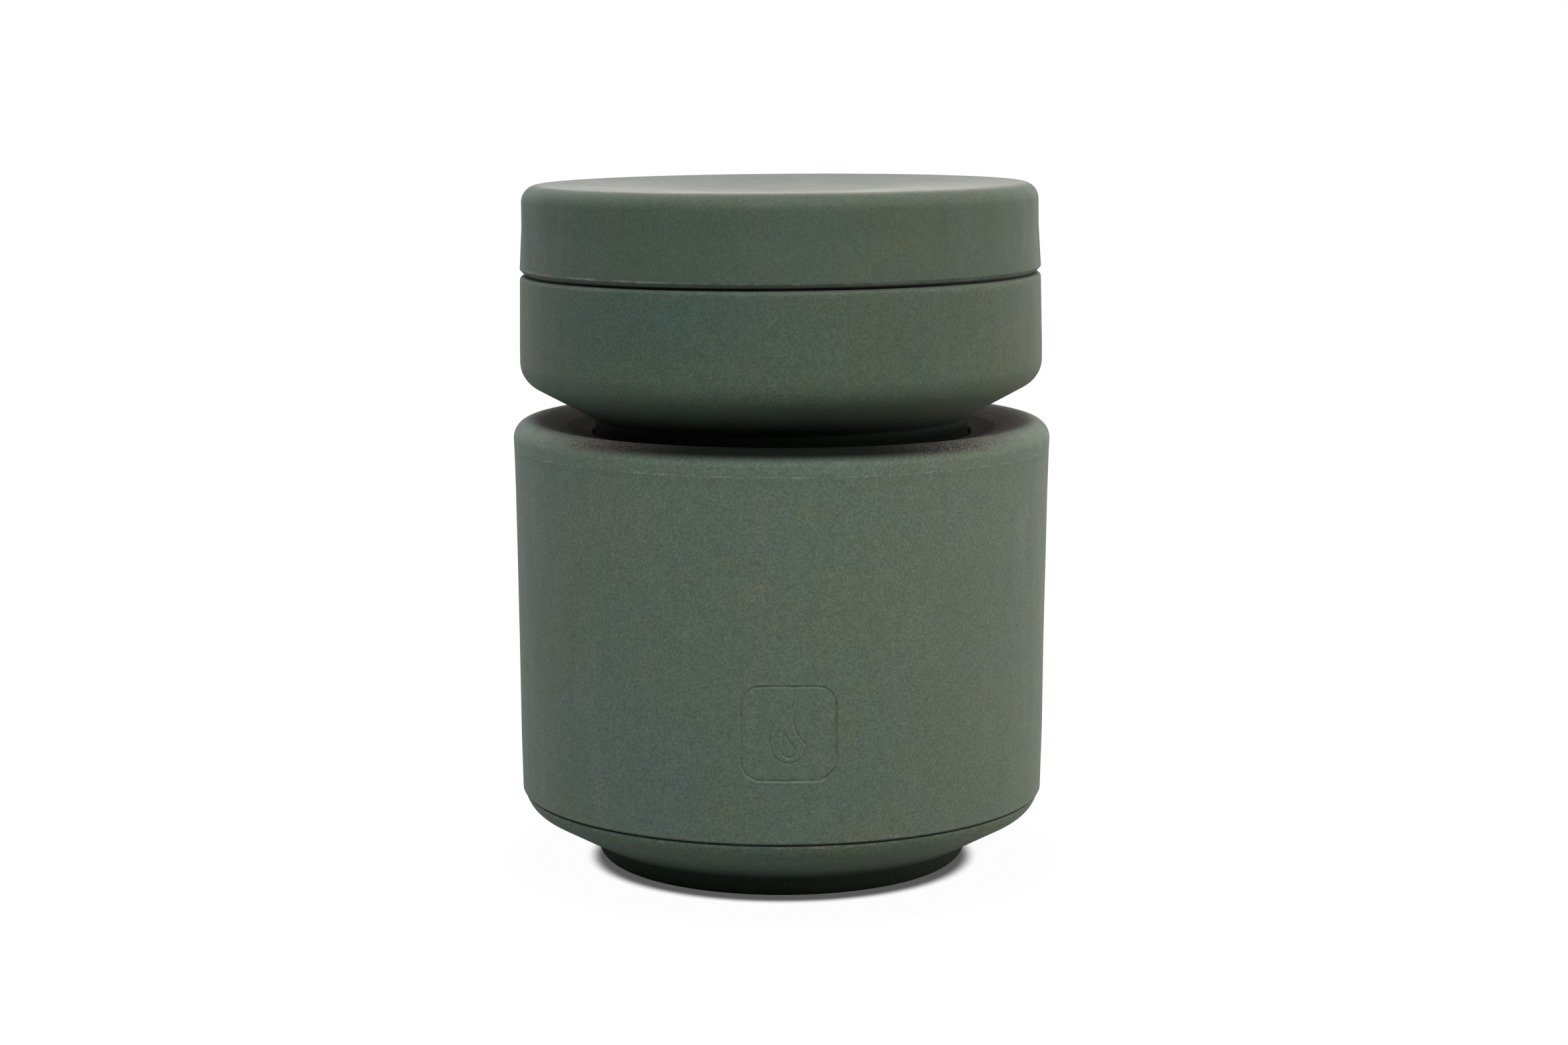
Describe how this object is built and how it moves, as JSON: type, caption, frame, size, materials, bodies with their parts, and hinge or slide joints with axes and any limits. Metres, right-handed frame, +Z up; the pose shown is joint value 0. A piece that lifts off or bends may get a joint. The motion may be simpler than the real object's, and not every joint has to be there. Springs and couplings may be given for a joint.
{
  "type": "rocket stove",
  "caption": "Round stacking rocket stove in matte dark green: footed ash dish, insulated drum with a rear fuel door, shallow footed pan in its mouth and a flat lid.",
  "frame": {"origin": "on the drum's axis, at the level of the floor that the foot ring stands on", "axes": "+Z up along the drum's axis; the fuel door is on +Y and the emblem on -Y"},
  "size_m": [0.25, 0.2844, 0.3181],
  "materials": {
    "cast_green": "matte",
    "dark_silicone": "matte",
    "graphite_sheet": "matte",
    "glass_rope": "matte",
    "plain_steel": "satin",
    "fired_steel": "matte",
    "fibre_block": "matte",
    "zinc_hardware": "satin",
    "black_iron": "matte",
    "oiled_wood": "satin",
    "worn_brass": "satin"
  },
  "bodies": {
    "dish": {"ash_dish": "cast_green", "foot_ring": "dark_silicone", "dish_seal": "graphite_sheet"},
    "drum": {"drum_shell": "cast_green", "chamber_floor": "plain_steel", "burn_chamber": "fired_steel", "feed_tube": "fired_steel", "lower_insulation": "fibre_block", "upper_insulation": "fibre_block", "insulation_cover": "plain_steel", "tie_rods": "zinc_hardware", "tie_washers": "zinc_hardware", "tie_nuts": "zinc_hardware", "port_frame": "black_iron", "port_gasket": "graphite_sheet", "frame_screws": "zinc_hardware", "hinge_pin": "zinc_hardware"},
    "grate": {"fire_grate": "black_iron"},
    "shelf": {"fuel_shelf": "plain_steel"},
    "door": {"fuel_door": "black_iron", "door_gasket": "glass_rope", "door_knob": "oiled_wood", "knob_stud": "zinc_hardware", "shutter_rails": "black_iron", "rail_rivets": "zinc_hardware"},
    "shutter": {"air_shutter": "plain_steel", "shutter_knob": "worn_brass"},
    "pot_ring": {"pot_ring": "black_iron"},
    "pan": {"pan": "cast_green"},
    "lid": {"lid": "cast_green", "lid_seal": "dark_silicone"}
  },
  "joints": [
    {"name": "drum_lift", "type": "slide", "parent": "dish", "child": "drum", "axis": [0, 0, 1], "range_m": [0, 0.06]},
    {"name": "grate_lift", "type": "slide", "parent": "drum", "child": "grate", "axis": [0, 0, 1], "range_m": [0, 0.12]},
    {"name": "shelf_slide", "type": "slide", "parent": "drum", "child": "shelf", "axis": [0, 1, 0], "range_m": [0, 0.024]},
    {"name": "door_hinge", "type": "hinge", "parent": "drum", "child": "door", "pos_m": [-0.05, 0.134, 0.095], "axis": [0, 0, 1], "range_deg": [0, 135]},
    {"name": "shutter_slide", "type": "slide", "parent": "door", "child": "shutter", "axis": [1, 0, 0], "range_m": [0, 0.007]},
    {"name": "pot_ring_lift", "type": "slide", "parent": "drum", "child": "pot_ring", "axis": [0, 0, 1], "range_m": [0, 0.05]},
    {"name": "pan_lift", "type": "slide", "parent": "pot_ring", "child": "pan", "axis": [0, 0, 1], "range_m": [0, 0.06]},
    {"name": "lid_lift", "type": "slide", "parent": "pan", "child": "lid", "axis": [0, 0, 1], "range_m": [0, 0.08]}
  ]
}
